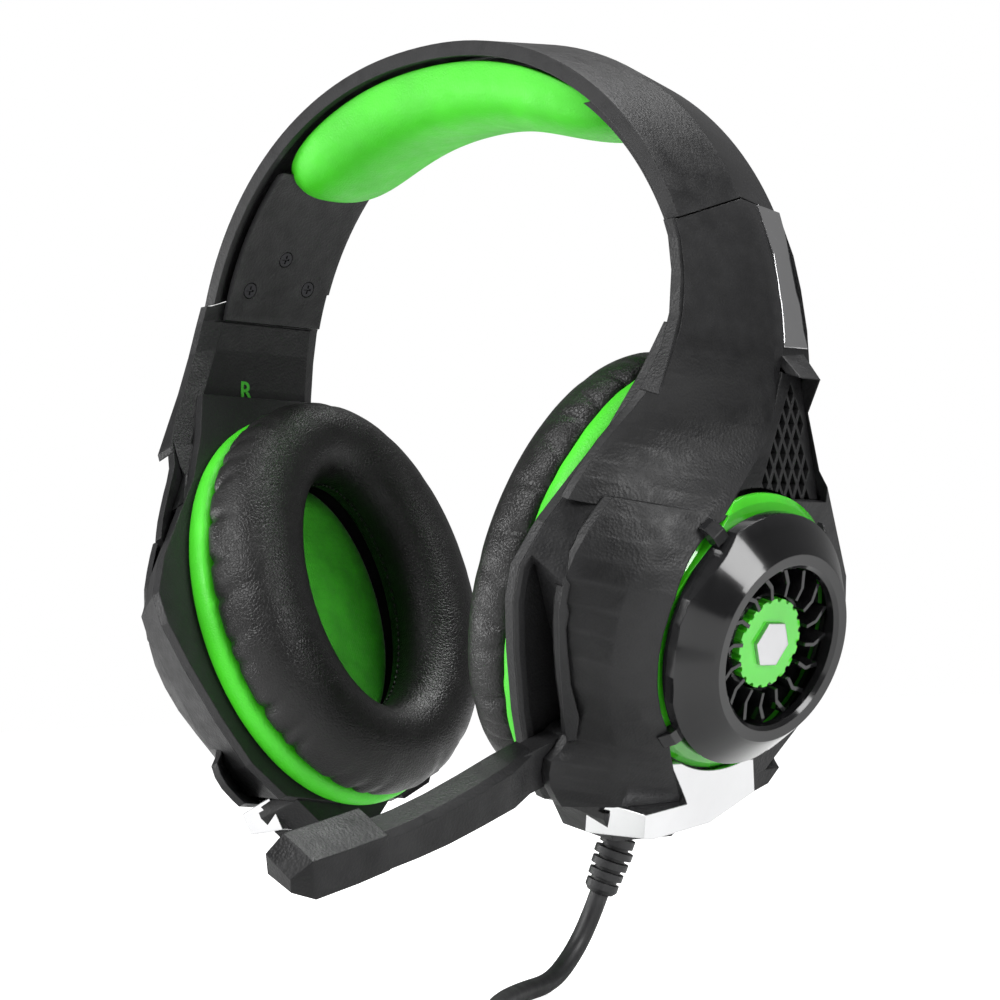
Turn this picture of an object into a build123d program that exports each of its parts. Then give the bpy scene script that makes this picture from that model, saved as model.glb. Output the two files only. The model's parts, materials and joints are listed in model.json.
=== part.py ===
from build123d import *
import os
from math import atan2, copysign, cos, degrees, pi, radians, sin, sqrt, tan

os.makedirs("parts", exist_ok=True)

# A closed-back gaming headset, in millimetres, held up by its headband.
# +X is the wearer's left, -Y is where the wearer looks, +Z is up.
# The origin is the middle of the headband cushion's underside.
# Each cup is drawn in its own frame: X outward (n), Y to the rear (r), Z up along the cup (u).

# ---- Headband ----
band_half_width = 85.7          # outer curve, at its front edge
band_rise = 85.4
band_power = 2.133              # superellipse power of the outer curve
band_centre_z = -66.0
band_front_y = -20.8
band_ridge_y = 2.5
band_rear_y = 19.0
band_crown = 2.5                # the ridge stands this far above the front edge
shell_wall = 2.0
lining_outer = 4.5              # depth below the outer curve
lining_inner = 6.0
lining_inset = 3.0              # from the band's front and rear edges
joint_front_z = -34.5           # where the band's shell ends, at its front edge
joint_ridge_z = -27.5
joint_rear_z = -29.0
lining_end_z = -38.5
lining_top_z = -3.0
joint_gap = 0.4
cushion_depth = 19.4
cushion_half_angle = 44.0       # from straight up
screw_spots = ((-11.7, -29.3), (8.4, -26.6), (-2.5, -15.5))    # Y and Z
screw_head_r = 2.0

# ---- Slider ----
slide_lean = 27.0               # the arm slides down and outward
slide_travel = 18.0             # the strip is this much longer than its shortest hold
strip_width = 10.0
strip_thickness = 1.2
strip_y = -1.5
strip_offset = -3.3             # below the band's outer curve, at the joint
strip_above = slide_travel + 4.0
strip_below = 12.0

# ---- Cup place ----
cup_centre = (58.4, -6.2, -116.9)
cup_lean = 19.08
cup_toe = -1.12
ellipse_tilt = 7.5              # the ear pad's long axis leans rearward

# ---- Ear pad ----
skirt_up = 52.8
skirt_rear = 41.2
skirt_depth = 7.2
pad_bulge = 1.2
pad_face = -25.5
pad_hole_up = 31.8
pad_hole_rear = 18.3
cloth_up = 36.0
cloth_rear = 23.0

# ---- Cup ----
# The rim's outline, front first, as (r, u).
cup_outline = (
    (-18.5, 62), (-23, 50), (-29.5, 37.5), (-38.5, 26), (-46.5, 15.5), (-51.5, 5.5), (-51, -2.5),
    (-47.3, -14), (-41.6, -28), (-35.5, -40), (-27, -49), (-10, -51.5), (12, -51.5), (30, -45),
    (42, -31), (49.5, -13), (51, 2), (47, 14), (38.5, 26), (30, 38), (26, 48), (25, 62),
)
baffle_depth = 2.6
housing_top = 23.0
housing_wall = 2.0
housing_taper = 24.0
housing_clearance = 0.3

# ---- Fan face ----
face_r = 1.3
face_u = -3.1
ring_inner = 25.0
ring_outer = 32.3
ring_bottom = 23.2
bezel_base_radius = 29.3
bezel_base_n = 30.7
bezel_face_radius = 21.8
bezel_face_n = 37.8
opening_radius = 18.4
blade_count = 16
hub_radius = 10.4
hub_teeth = 20

# ---- Arm and cover ----
# The headband's outer curve carried down the arm, as (u, n, rear r).
arm_curve = (
    (90, -10.0, 25), (80.6, -2.4, 25), (73.5, 1.9, 25), (64.5, 6.4, 25), (57, 9.2, 25), (49, 11.8, 25),
    (40, 12.5, 22.5), (30, 12.0, 20),
)
arm_thickness = 6.0
arm_edge = 3.2                  # its thickness at its edges
arm_lip = 0.9                   # the arm shows this far in front of its cover
cover_wall = 2.4
# Upper blade: (u, front n, front r, ridge n, ridge r, rear n, rear r).
blade_sections = (
    (92.0, -11.5, -15.0, -8.6, 8.5, -9.8, 15.5),
    (80.6, -2.4, -16.0, 0.3, 8.7, -1.4, 15.5),
    (71.0, 3.2, -18.0, 6.0, 8.6, 4.4, 15.0),
    (61.5, 7.6, -21.5, 10.4, 8.4, 9.0, 14.0),
    (52.0, 9.0, -26.5, 13.6, 7.6, 13.0, 9.8),
    (43.0, 7.0, -30.5, 16.8, 3.0, 17.2, 6.0),
    (35.0, 5.8, -36.0, 19.6, -4.5, 20.4, -1.2),
    (27.0, 5.4, -40.8, 22.8, -14.0, 24.0, -10.4),
    (21.5, 5.2, -43.4, 24.4, -19.5, 25.6, -15.8),
)
# Lower panel beside the fan face: (u, front n, front r, middle n, middle r, rear n, rear r).
panel_sections = (
    (24.0, 12.5, -37.5, 21.0, -24.0, 25.2, -13.0),
    (16.0, 12.0, -42.5, 22.0, -31.0, 27.2, -19.0),
    (5.8, 12.0, -46.5, 22.5, -37.0, 28.4, -26.4),
    (-5.4, 12.0, -44.8, 22.5, -38.0, 28.4, -27.6),
    (-18.0, 12.0, -40.0, 22.0, -34.5, 28.0, -24.0),
    (-31.0, 12.0, -34.2, 21.0, -27.5, 26.4, -15.6),
    (-36.5, 11.8, -38.0, 20.5, -26.0, 25.2, -11.0),
    (-42.5, 11.8, -36.5, 19.5, -24.0, 23.6, -5.6),
    (-48.0, 12.4, -31.0, 18.0, -20.0, 21.8, -1.5),
)
panel_foot_r = -24.4            # the panel's bottom edge passes this point and rises rearward
panel_foot_u = -46.2
panel_foot_slope = 7.9

# ---- Microphone boom ----
boom_pivot_r = -29.0
boom_pivot_u = -35.5
boom_droop = 20.5               # below straight ahead, at rest
boom_bottom_n = 4.1
boom_neck_n = 9.2
boom_face_n = 11.8
boom_width = 11.4
boom_rows = (                   # distance from the joint, low edge, high edge, outer face's n
    (12, -4.9, 5.6, 9.2), (20, -4.9, 5.4, 11.6), (30, -5.0, 4.7, 11.8), (40, -5.0, 4.3, 11.8),
    (49, -4.4, 4.5, 11.8), (57, -3.5, 5.2, 11.8))
head_rows = (                   # the same for the microphone's head at the boom's end
    (57.05, -3.5, 6.6, 12.0), (66, -2.6, 7.9, 12.2), (77.5, -1.1, 9.6, 12.2), (82.5, 2.2, 7.0, 10.6))
head_back_n = 3.0
capsule_along = 70.0
boom_pin_radius = 2.0
boom_hub_radius = 6.0
head_length = 32.0

# ---- Cord ----
cord_diameter = 4.5
floor_z = -207.5
relief_start = (12.0, -9.5, -55.8)      # in the cup's frame
relief_lean = 11.3              # forward of straight down the cup
relief_length = 13.5
coil_centre = (149.0, -143.5)
coil_inner = 9.0
coil_outer = 40.6
coil_layers = 2
tie_thickness = 1.0
tie_width = 6.0
plug_radius = 3.6
plug_length = 22.0
jack_radius = 1.75
jack_length = 14.0
cord_route = (
    (46.9, -18.6, -186.2), (44.3, -20.2, -193.6), (43.3, -26.0, -201.0), (44.6, -34.4, -205.25),
    (49.8, -49.0, -205.25), (59.0, -66.5, -205.25), (72.5, -83.0, -205.25), (84.0, -102.0, -205.25),
    (96.0, -131.0, -205.25), (109.6, -156.0, -205.0),
)
tail_route = ((133.0, -180.4, -204.6), (141.5, -186.2, -204.3), (154.5, -188.7, -203.9))


def band_point(angle, offset=0.0):
    """A point of the band's outer curve, at an angle from +X, moved outward by offset."""
    across = abs(cos(angle)) ** (2 / band_power)
    up = sin(angle) ** (2 / band_power)
    slope_x = across ** (band_power - 1) / band_half_width
    slope_z = up ** (band_power - 1) / band_rise
    size = sqrt(slope_x ** 2 + slope_z ** 2)
    x = band_half_width * across + offset * slope_x / size
    z = band_centre_z + band_rise * up + offset * slope_z / size
    return (copysign(x, cos(angle)), z)


def band_face(y, offset, steps=24):
    """The area under the band's outer curve, down to its centre line, on the plane at y."""
    points = [band_point(pi * step / steps, offset) for step in range(steps + 1)]
    curve = Spline(*[(x, y, z) for x, z in points])
    base = Line(curve @ 1, curve @ 0)
    return make_face([curve, base])


def band_prism(front, rear, offset):
    """Everything inside the band's curve moved by offset, between two Y values."""
    return loft([band_face(front, offset), band_face(rear, offset)], ruled=True)


def side_prism(points, low_x=-150.0, high_x=150.0):
    """A (y, z) outline extended along X."""
    face = make_face(Polyline(*[(low_x, y, z) for y, z in points], close=True))
    return extrude(face, amount=high_x - low_x, dir=(1, 0, 0))


def cup_place(shape):
    """Move a shape from the left cup's frame to the part's frame."""
    return Location(cup_centre, (0, cup_lean, cup_toe)) * shape


def cup_frame(shape):
    """Move a shape from the part's frame to the left cup's frame."""
    return Location(cup_centre, (0, cup_lean, cup_toe)).inverse() * shape


def other_side(shape):
    """The same shape on the wearer's right."""
    return mirror(shape, about=Plane.YZ)


def keep(name, shape):
    """Write one node, and refuse a shape that isn't sound."""
    solids = shape.solids()
    if not solids or not all(solid.is_valid for solid in solids):
        print("UNSOUND", name)
    if len(solids) > 1 and not name.endswith(("screws", "spokes")):
        print("MANY SOLIDS", name, [round(solid.volume, 1) for solid in solids])
    whole = solids[0] if len(solids) == 1 else Compound(children=list(solids))
    export_step(whole, f"parts/{name}.step")


def keep_both(name, left_shape):
    """Write a cup-frame shape as the left node and its mirror image as the right node."""
    placed = cup_place(left_shape)
    keep(f"left_{name}", placed)
    keep(f"right_{name}", other_side(placed))


def disc(radius, low_n, high_n, r=face_r, u=face_u):
    """A cylinder along the cup's outward axis."""
    plane = Plane.YZ.offset(low_n) * Pos(r, u)
    return extrude(plane * Circle(radius), amount=high_n - low_n)


def oval(up, rear, low_n, high_n):
    """An oval prism around the ear pad's axis."""
    plane = Plane.YZ.offset(low_n) * Rot(0, 0, -ellipse_tilt)
    return extrude(plane * Ellipse(rear, up), amount=high_n - low_n)


def plate(points, low_n, high_n, taper=0.0, inset=0.0):
    """An (r, u) outline extended outward."""
    face = make_face(Polyline(*points, close=True))
    if inset:
        face = offset(face, -inset)
    return extrude(Plane.YZ.offset(low_n) * face, amount=high_n - low_n, taper=taper)


def turned(profile, r=face_r, u=face_u):
    """A profile of (n, radius) points turned about the fan face's axis."""
    face = make_face(Polyline(*[(n, r, u + radius) for n, radius in profile], close=True))
    return revolve(face, axis=Axis((0, r, u), (1, 0, 0)))


def smoothed(rows, parts=2):
    """Extra rows between the given ones, on a smooth curve through each column."""
    made = []
    for number in range(len(rows) - 1):
        before = rows[max(number - 1, 0)]
        after = rows[min(number + 2, len(rows) - 1)]
        for part in range(parts):
            t = part / parts
            made.append(tuple(
                b + 0.5 * (c - a) * t + 0.5 * (2 * a - 5 * b + 4 * c - d) * t ** 2
                + 0.5 * (3 * b - a - 3 * c + d) * t ** 3
                for a, b, c, d in zip(before, rows[number], rows[number + 1], after)))
    return made + [rows[-1]]


def skin(sections, low, high):
    """A solid through (n, r) sections at rising heights, from low to high about their surface."""
    faces = []
    for u, *places in sections:
        line = [(places[i], places[i + 1]) for i in range(0, len(places), 2)]
        outer = [(n + high, r, u) for n, r in line]
        inner = [(n + low, r, u) for n, r in reversed(line)]
        faces.append(make_face(Polyline(*(outer + inner), close=True)))
    return loft(faces, ruled=True)


# ---------------------------------------------------------------- headband
far_y = 60.0
top_z = 60.0
upright = (Align.CENTER, Align.CENTER, Align.MIN)

ridge_area = band_face(band_ridge_y, band_crown)
outer_band = loft([band_face(band_front_y, 0), ridge_area], ruled=True)
outer_band += loft([ridge_area, band_face(band_rear_y, -0.6)], ruled=True)
inner_band = loft([band_face(band_front_y, -shell_wall - 1.2), band_face(band_ridge_y, 0.4)], ruled=True)
inner_band += loft([band_face(band_ridge_y, 0.4), band_face(band_rear_y, -shell_wall - 1.2)], ruled=True)

above_joint = side_prism((
    (-far_y, joint_front_z), (band_front_y, joint_front_z), (band_ridge_y, joint_ridge_z),
    (band_rear_y, joint_rear_z), (far_y, joint_rear_z), (far_y, top_z), (-far_y, top_z)))
headband_shell = (outer_band - inner_band) & above_joint
rim_front = band_prism(band_front_y, band_front_y + 2.0, -1.0) - band_prism(band_front_y, band_front_y + 2.0, -3.6)
rim_rear = band_prism(band_rear_y - 2.0, band_rear_y, -2.0) - band_prism(band_rear_y - 2.0, band_rear_y, -3.6)
headband_shell += (rim_front + rim_rear) & above_joint
keep("headband_shell", headband_shell)

lining_front = band_front_y + lining_inset
lining_rear = band_rear_y - lining_inset
lining = band_prism(lining_front, lining_rear, -lining_outer) - band_prism(lining_front, lining_rear, -lining_inner)
lining &= side_prism((
    (lining_front, lining_end_z), (lining_rear, lining_end_z),
    (lining_rear, lining_top_z), (lining_front, lining_top_z)))
left_lining = lining & Pos(100, 0, 0) * Box(200, 200, 200)
screws = []
for y, z in screw_spots:
    angle = atan2(z - band_centre_z + 3.0, band_half_width)
    x, z_face = band_point(angle, -lining_inner)
    lean = degrees(atan2(band_point(angle, 0)[1] - z_face, band_point(angle, 0)[0] - x))
    seat = Location((x, y, z_face), (0, 90 - lean, 0))
    left_lining -= seat * Pos(0, 0, -0.2) * Cylinder(screw_head_r + 0.2, 1.4, align=upright)
    left_lining -= seat * Cylinder(1.1, 4, align=upright)
    head = Cylinder(screw_head_r, 1.0, align=upright)
    head -= Box(2.4, 0.5, 0.6)
    head -= Box(0.5, 2.4, 0.6)
    thread = Pos(0, 0, 1.0) * Cylinder(0.9, 0.4, align=upright)
    screws.append(seat * (head + thread))
keep("left_band_lining", left_lining)
keep("right_band_lining", other_side(left_lining))
left_screws = Compound(children=screws)
keep("left_band_screws", left_screws)
keep("right_band_screws", other_side(left_screws))

spring = band_prism(-7.0, 7.0, -1.5) - band_prism(-7.0, 7.0, -2.3)
spring &= Pos(0, 0, 50 + 4) * Box(140, 100, 100)
keep("headband_spring", spring)

cushion_faces = []
for y, depth in ((band_front_y + 2.4, 5.5), (-15.0, 12.0), (-8.0, 17.0), (0.0, cushion_depth),
                 (8.0, 17.0), (14.0, 12.0), (band_rear_y - 2.4, 5.5)):
    points = []
    for step in range(-6, 7):
        angle = radians(90 - cushion_half_angle * step / 6)
        fullness = sqrt(max(0.0, 1 - (step / 6) ** 4))
        points.append(band_point(angle, -4.4 - (depth - 4.4) * (0.12 + 0.88 * fullness)))
    under = Spline(*[(x, y, z) for x, z in points])
    top_points = [band_point(radians(90 - cushion_half_angle * step / 6), -4.0) for step in range(6, -7, -1)]
    over = Spline(*[(x, y, z) for x, z in top_points])
    cushion_faces.append(make_face([under, Line(under @ 1, over @ 0), over, Line(over @ 1, under @ 0)]))
headband_cushion = loft(cushion_faces, ruled=True)
keep("headband_cushion", headband_cushion)

# ---------------------------------------------------------------- slider
joint_x, joint_z = band_point(atan2(-31.5 - band_centre_z, 80.0), strip_offset)
strip_place = Location((joint_x, strip_y, joint_z), (0, -slide_lean, 0))
strip = Pos(0, 0, (strip_above - strip_below) / 2) * Box(
    strip_thickness, strip_width, strip_above + strip_below)
slider_strip = strip_place * strip
keep("left_slider_strip", slider_strip)
keep("right_slider_strip", other_side(slider_strip))
strip_pocket = strip_place * Box(strip_thickness + 0.3, strip_width + 0.3, 2 * strip_below + 0.3)

# ---------------------------------------------------------------- cup shells
def cup_front_r(u):
    """The rim's front edge at a height on the arm."""
    edge = [(-16.5, 95.0)] + list(cup_outline[:5])
    for (r_high, u_high), (r_low, u_low) in zip(edge, edge[1:]):
        if u >= u_low:
            return r_low + (r_high - r_low) * (u - u_low) / (u_high - u_low)
    return edge[-1][0]


def cover_front_r(u):
    """The cover's front edge at a height on the arm."""
    for high, low in zip(cover_rows, cover_rows[1:]):
        if u >= low[0]:
            return low[2] + (high[2] - low[2]) * (u - low[0]) / (high[0] - low[0])
    return cover_rows[-1][2]


cover_rows = smoothed(blade_sections)
panel_rows = smoothed(panel_sections)
cover = skin(cover_rows, -cover_wall, 0.0)
cover_room = skin(cover_rows, -cover_wall - housing_clearance, 40.0)
panel = skin(panel_rows, -cover_wall, 0.0)
panel_room = skin(panel_rows, -cover_wall - housing_clearance, 40.0)
below_joint = side_prism((
    (-far_y, joint_front_z - joint_gap), (band_front_y, joint_front_z - joint_gap),
    (band_ridge_y, joint_ridge_z - joint_gap), (band_rear_y, joint_rear_z - joint_gap),
    (far_y, joint_rear_z - joint_gap), (far_y, -300), (-far_y, -300)))
below_lining = side_prism((
    (-far_y, lining_end_z - joint_gap), (far_y, lining_end_z - joint_gap), (far_y, -300), (-far_y, -300)))
local_below_joint = cup_frame(below_joint)
fan_clearance = disc(bezel_base_radius + 0.9, 20, 60)
below_panel = Pos(0, panel_foot_r, panel_foot_u) * Rot(panel_foot_slope, 0, 0) * Pos(0, 0, -50) * Box(200, 200, 100)
cup_cover = (cover + panel - below_panel) & local_below_joint
arm_pocket = cup_frame(strip_pocket)
keep_both("cup_cover", cup_cover - fan_clearance - arm_pocket)


def boom_place(rise=0.0):
    """The boom's frame in the cup's frame: -Y runs out along the boom."""
    return Pos(0, boom_pivot_r, boom_pivot_u) * Rot(boom_droop - rise, 0, 0)


boom_room = disc(boom_hub_radius + 0.6, boom_bottom_n - 0.3, boom_face_n + 0.5, boom_pivot_r, boom_pivot_u)
for rise in range(-6, 79, 6):
    bar_length = 110.0
    boom_room += boom_place(rise) * Pos((boom_bottom_n + boom_face_n) / 2, -bar_length / 2, 0) * Box(
        boom_face_n - boom_bottom_n + 0.8, bar_length, boom_width + 1.2)

# The arm behind the cover, from the joint down into the cup.
arm_faces = []
for u, n, rear_r in arm_curve:
    front_r = cover_front_r(u) - arm_lip if u > 43 else cup_front_r(u)
    depth = arm_thickness if u > 55 else arm_thickness + (55 - u) * 0.35
    edge = depth - arm_thickness + arm_edge
    ridge_r = 8.0
    corners = [
        (n - 0.2, front_r), (n + 2.2, ridge_r), (n, rear_r), (n - edge, rear_r), (n - depth, rear_r - 5),
        (n - depth, front_r + 5), (n - edge, front_r)]
    arm_faces.append(make_face(Polyline(*[(at_n, at_r, u) for at_n, at_r in corners], close=True)))
arm = loft(arm_faces, ruled=True) & local_below_joint

dome = plate(cup_outline, baffle_depth, housing_top, taper=housing_taper)
hollow = plate(cup_outline, baffle_depth - 0.01, housing_top - housing_wall, housing_taper, housing_wall)
pocket_wall = disc(boom_hub_radius + 2.4, boom_bottom_n - 0.3, boom_face_n + 2.3, boom_pivot_r, boom_pivot_u)
for rise in range(-6, 79, 12):
    bar_length = 60.0
    pocket_wall += boom_place(rise) * Pos(boom_bottom_n + 4.8, -bar_length / 2, 0) * Box(
        9.6, bar_length, boom_width + 5.0)

# The sloping grille panel behind the cover, between the arm and the green ring.
grille_sections = ((55.0, 12.6, 10.6, 12.0, 18.6), (27.5, 22.2, -10.0, 20.5, 24.5))
grille_wall = 1.6
grille = skin(grille_sections, -grille_wall, 0.0) - cover_room - disc(ring_outer + 0.4, 10, 40)
grille_room = skin(grille_sections, -grille_wall - 0.2, 14.0)
diamond_rows = 8
diamond_step_r = 3.6
diamond_step_u = 3.3
holes = []
for row in range(diamond_rows):
    u = 50.5 - row * diamond_step_u
    left_edge = 12.6 - row * diamond_step_u * 0.62
    right_edge = 17.0 + row * diamond_step_u * 0.20
    shift = diamond_step_r / 2 * (row % 2)
    for column in range(-6, 7):
        r = 14.6 + column * diamond_step_r + shift
        if left_edge < r < right_edge:
            diamond = ((r - 1.25, u), (r, u - 2.5), (r + 1.25, u), (r, u + 2.5))
            holes.append(plate(diamond, 5, 35))
grille -= holes

# Chrome strip on the arm's bevel behind the cover.
trim_sections = (
    (92.0, -8.4, 9.0, -9.5, 15.0, -10.6, 24.6),
    (80.6, 0.4, 9.2, -0.8, 15.8, -3.0, 24.8),
    (70.0, 6.4, 9.2, 5.0, 15.6, 3.2, 24.8),
    (60.5, 10.6, 9.4, 9.6, 14.6, 8.0, 24.6),
)
trim_wall = 1.4
trim = skin(trim_sections, -trim_wall, 0.0) & local_below_joint
trim -= cover_room
trim_room = skin(trim_sections, -trim_wall - 0.15, 20.0)

lining_room = band_prism(-far_y, far_y, 0.3 - lining_outer) - below_lining
local_lining_room = cup_frame(lining_room)
shell = (arm + dome) - cover_room - panel_room - grille_room - trim_room - arm_pocket
shell -= local_lining_room + plate(cup_outline, -20, baffle_depth)
shell -= disc(ring_outer + 0.25, ring_bottom, 60)
face_bore = disc(ring_inner - 3.0, 5, 60)
right_shell = shell - hollow - face_bore
left_shell = shell - boom_room - (hollow - pocket_wall) - face_bore


def largest(shape):
    """The main solid of a cut shape, without the crumbs that cutting leaves."""
    return max(shape.solids(), key=lambda solid: solid.volume)


keep("left_housing", cup_place(largest(left_shell)))
keep("right_housing", other_side(cup_place(largest(right_shell))))
keep_both("arm_trim", largest(trim))
keep_both("arm_grille", largest(grille))

# The baffle closes the cup towards the ear and carries the speaker.
speaker_bore = 21.0
baffle = plate(cup_outline, 0, baffle_depth - 0.05) - disc(speaker_bore, -5, 10, 0, 0)
for spot_r, spot_u in ((-27, 27), (27, 27), (-27, -30), (27, -30)):
    baffle -= disc(1.3, -5, 10, spot_r, spot_u)
keep_both("baffle", baffle)
basket = disc(24.0, baffle_depth, 5.2, 0, 0) - disc(20.5, 0, 4.2, 0, 0) - disc(12.6, 0, 8, 0, 0)
keep_both("speaker_basket", basket)
keep_both("speaker_magnet", disc(12.5, 4.4, 11.0, 0, 0))
cone = turned(((-0.6, 0), (0.3, 5), (2.6, 20.0), (3.4, 20.0), (1.1, 5), (0.2, 0)), 0, 0)
keep_both("speaker_cone", cone)

skirt_top = -0.15
skirt = oval(skirt_up, skirt_rear, -skirt_depth, skirt_top) - oval(skirt_up - 7, skirt_rear - 7, -20, 5)
keep_both("pad_skirt", skirt)
cloth = oval(cloth_up, cloth_rear, -2.2, -1.0)
keep_both("speaker_cloth", cloth)
pad_top = -skirt_depth - 0.15
pad = oval(skirt_up + pad_bulge, skirt_rear + pad_bulge, pad_face, pad_top)
pad -= oval(pad_hole_up, pad_hole_rear, -60, 5)
inner_face = pad.edges().filter_by(GeomType.ELLIPSE).group_by(Axis.X)[0]
pad = fillet(inner_face, 6.0)
keep_both("ear_pad", pad)

# ---------------------------------------------------------------- fan face
ring = turned((
    (ring_bottom, ring_inner), (ring_bottom, ring_outer), (ring_bottom + 1.0, ring_outer),
    (ring_bottom + 2.6, ring_outer - 1.6), (ring_bottom + 3.3, ring_outer - 4), (ring_bottom + 3.3, ring_inner)))
keep_both("glow_ring", ring - cover_room - panel_room)
bezel_bottom = ring_bottom + 3.45
bezel = turned((
    (bezel_bottom, 26.4), (bezel_bottom, bezel_base_radius - 1.4), (bezel_bottom + 1.4, bezel_base_radius),
    (bezel_base_n, bezel_base_radius), (bezel_face_n - 0.8, bezel_face_radius + 0.9),
    (bezel_face_n, bezel_face_radius), (bezel_face_n - 0.2, opening_radius + 0.9),
    (bezel_face_n - 1.0, opening_radius), (bezel_face_n - 3.0, opening_radius), (bezel_base_n, 26.0)))
keep_both("bezel", bezel - cover_room - panel_room)

fan_back = 25.6
fan_front = 35.0
fan_flange = ring_inner - 0.2
fan = turned(((fan_back, 12.0), (fan_back, fan_flange), (fan_back + 1.2, fan_flange), (fan_back + 1.2, 12.0)))
blade_points = ((11.2, -0.45), (14.6, -0.45), (18.2, 1.9), (17.6, 2.8), (14.2, 0.45), (11.2, 0.45))
for number in range(blade_count):
    turn = Pos(0, face_r, face_u) * Rot(360 / blade_count * number, 0, 0) * Pos(0, -face_r, -face_u)
    blade = plate([(face_r + out, face_u + side) for out, side in blade_points], fan_back + 1.0, fan_front)
    fan += turn * blade
fan += turned(((fan_back + 0.6, 11.0), (fan_back + 0.6, 12.6), (fan_front - 3.0, 12.0), (fan_front - 3.0, 11.0)))
keep_both("fan_insert", fan)

hub_back = fan_back + 1.4
hub_front = 33.6
hub = disc(hub_radius, hub_back, hub_front)
for number in range(hub_teeth):
    angle = 2 * pi * number / hub_teeth
    hub -= disc(0.7, hub_back, hub_front, face_r + hub_radius * cos(angle), face_u + hub_radius * sin(angle))
keep_both("hub_disc", hub)
badge_radius = 5.6
badge_plane = Plane.YZ.offset(hub_front + 0.01) * Pos(face_r, face_u)
keep_both("badge", extrude(badge_plane * RegularPolygon(badge_radius, 6), amount=0.9))
board = disc(20.0, 18.0, 19.4) - disc(4.0, 10, 30)
keep_both("light_board", board)

# ---------------------------------------------------------------- lower end
lower_trim_outline = (
    (-22.5, -45.0), (-16.0, -30.0), (18.0, -30.0), (23.5, -43.4), (6.0, -52.0), (-14.0, -55.0), (-20.5, -54.4))
lower_trim = plate(lower_trim_outline, 11.0, 25.6, taper=14) - disc(ring_outer + 0.3, 0, 60)
keep_both("lower_trim", largest(lower_trim - cover_room - (panel_room - below_panel) - (dome + arm)))

foot_outline = ((-23, -46), (-22.5, -50), (-17, -56), (4, -56), (11, -50.5), (12, -46))
relief_collar = 5.2
foot = plate(foot_outline, 1.0, 16.5, taper=4)
foot_cut = dome + arm + cover_room + panel_room + lower_trim
foot_cut += plate(cup_outline, -5, baffle_depth)
relief_place = Pos(*relief_start) * Rot(-relief_lean, 0, 0)
relief_seat = relief_place * Pos(0, 0, -1) * Cylinder(relief_collar - 1.0, 6, align=upright)
left_foot = largest(foot - foot_cut - boom_room - relief_seat)
keep("left_cup_foot", cup_place(left_foot))
keep("right_cup_foot", other_side(cup_place(largest(foot - foot_cut))))
rear_block_outline = ((17.5, -40), (20, -35.5), (40, -34.5), (44.5, -31.5), (34, -45.5), (23, -49.5))
rear_block = plate(rear_block_outline, 8.0, 19.5, taper=18) - (dome + arm) - disc(ring_outer + 0.3, 0, 60)
keep_both("rear_block", largest(rear_block - lower_trim))

# ---------------------------------------------------------------- microphone boom
pin_top = boom_neck_n + 1.2
pin = disc(boom_pin_radius, baffle_depth, pin_top, boom_pivot_r, boom_pivot_u)
pin += disc(boom_pin_radius + 1.4, boom_neck_n + 0.3, pin_top, boom_pivot_r, boom_pivot_u)
keep("boom_pin", cup_place(pin))

neck = disc(boom_hub_radius, boom_bottom_n, boom_neck_n, 0, 0)
neck += Pos((boom_bottom_n + boom_neck_n) / 2, -10, 0) * Box(boom_neck_n - boom_bottom_n, 20, boom_width - 1.4)
boom_faces = []
for along, low, high, face_n in boom_rows:
    boom_faces.append(make_face(Polyline(
        (boom_bottom_n, -along, low + 1.2), (boom_bottom_n, -along, high + 0.3), (face_n - 1.6, -along, high),
        (face_n, -along, high - 1.4), (face_n - 0.3, -along, low), close=True)))
boom_bar = loft(boom_faces, ruled=True)
boom_arm = neck + boom_bar - disc(boom_pin_radius + 0.05, 0, 20, 0, 0)
keep("boom_arm", cup_place(boom_place() * boom_arm))

head_faces = []
for along, low, high, face_n in head_rows:
    head_faces.append(make_face(Polyline(
        (head_back_n, -along, low + 1.6), (head_back_n, -along, high + 1.6), (face_n - 4.0, -along, high),
        (face_n, -along, high - 1.6), (face_n - 0.2, -along, low), close=True)))
mic_head = loft(head_faces, ruled=True)
capsule_place = Pos(head_back_n, -capsule_along, 3.6) * Rot(0, -90, 0)
capsule_seat = capsule_place * Pos(0, 0, -2.6) * Cylinder(3.3, 8, align=upright)
capsule = capsule_place * Pos(0, 0, -2.5) * Cylinder(3.0, 2.8, align=upright)
keep("mic_head", cup_place(boom_place() * (mic_head - capsule_seat)))
keep("mic_capsule", cup_place(boom_place() * capsule))

# ---------------------------------------------------------------- cord
relief_profile = [(0, 0), (relief_collar - 1.2, 0), (relief_collar - 1.2, -2.0)]
rib_count = 4
rib_pitch = (relief_length - 3.0) / rib_count
for rib in range(rib_count):
    top = -2.0 - rib * rib_pitch
    outer = 4.5 - 0.22 * rib
    relief_profile += [(3.1, top - 0.1), (3.1, top - 0.9), (outer, top - 1.0), (outer, top - rib_pitch)]
relief_profile += [(3.0, -relief_length), (0, -relief_length)]
relief_face = make_face(Polyline(*[(x, 0, z) for x, z in relief_profile], close=True))
relief = relief_place * revolve(relief_face, axis=Axis.Z)
keep("strain_relief", cup_place(relief))


def cord_tube(route):
    """Straight runs joined by tangent arcs, as large as the runs allow."""
    points = [Vector(*point) for point in route]
    radii = []
    for before, here, after in zip(points, points[1:], points[2:]):
        turn = (here - before).get_angle(after - here)
        shorter = min((here - before).length, (after - here).length)
        radii.append(0.45 * shorter / tan(radians(turn / 2)))
    print("cord radii", [round(radius, 1) for radius in radii])
    path = FilletPolyline(*points, radius=radii) if radii else Line(*points)
    start = Plane(origin=path @ 0, z_dir=path % 0)
    tube = sweep(start * Circle(cord_diameter / 2), path=path)
    print("cord volume", round(tube.volume), "expected", round(pi * cord_diameter ** 2 / 4 * path.length))
    return tube, path.length


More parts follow.
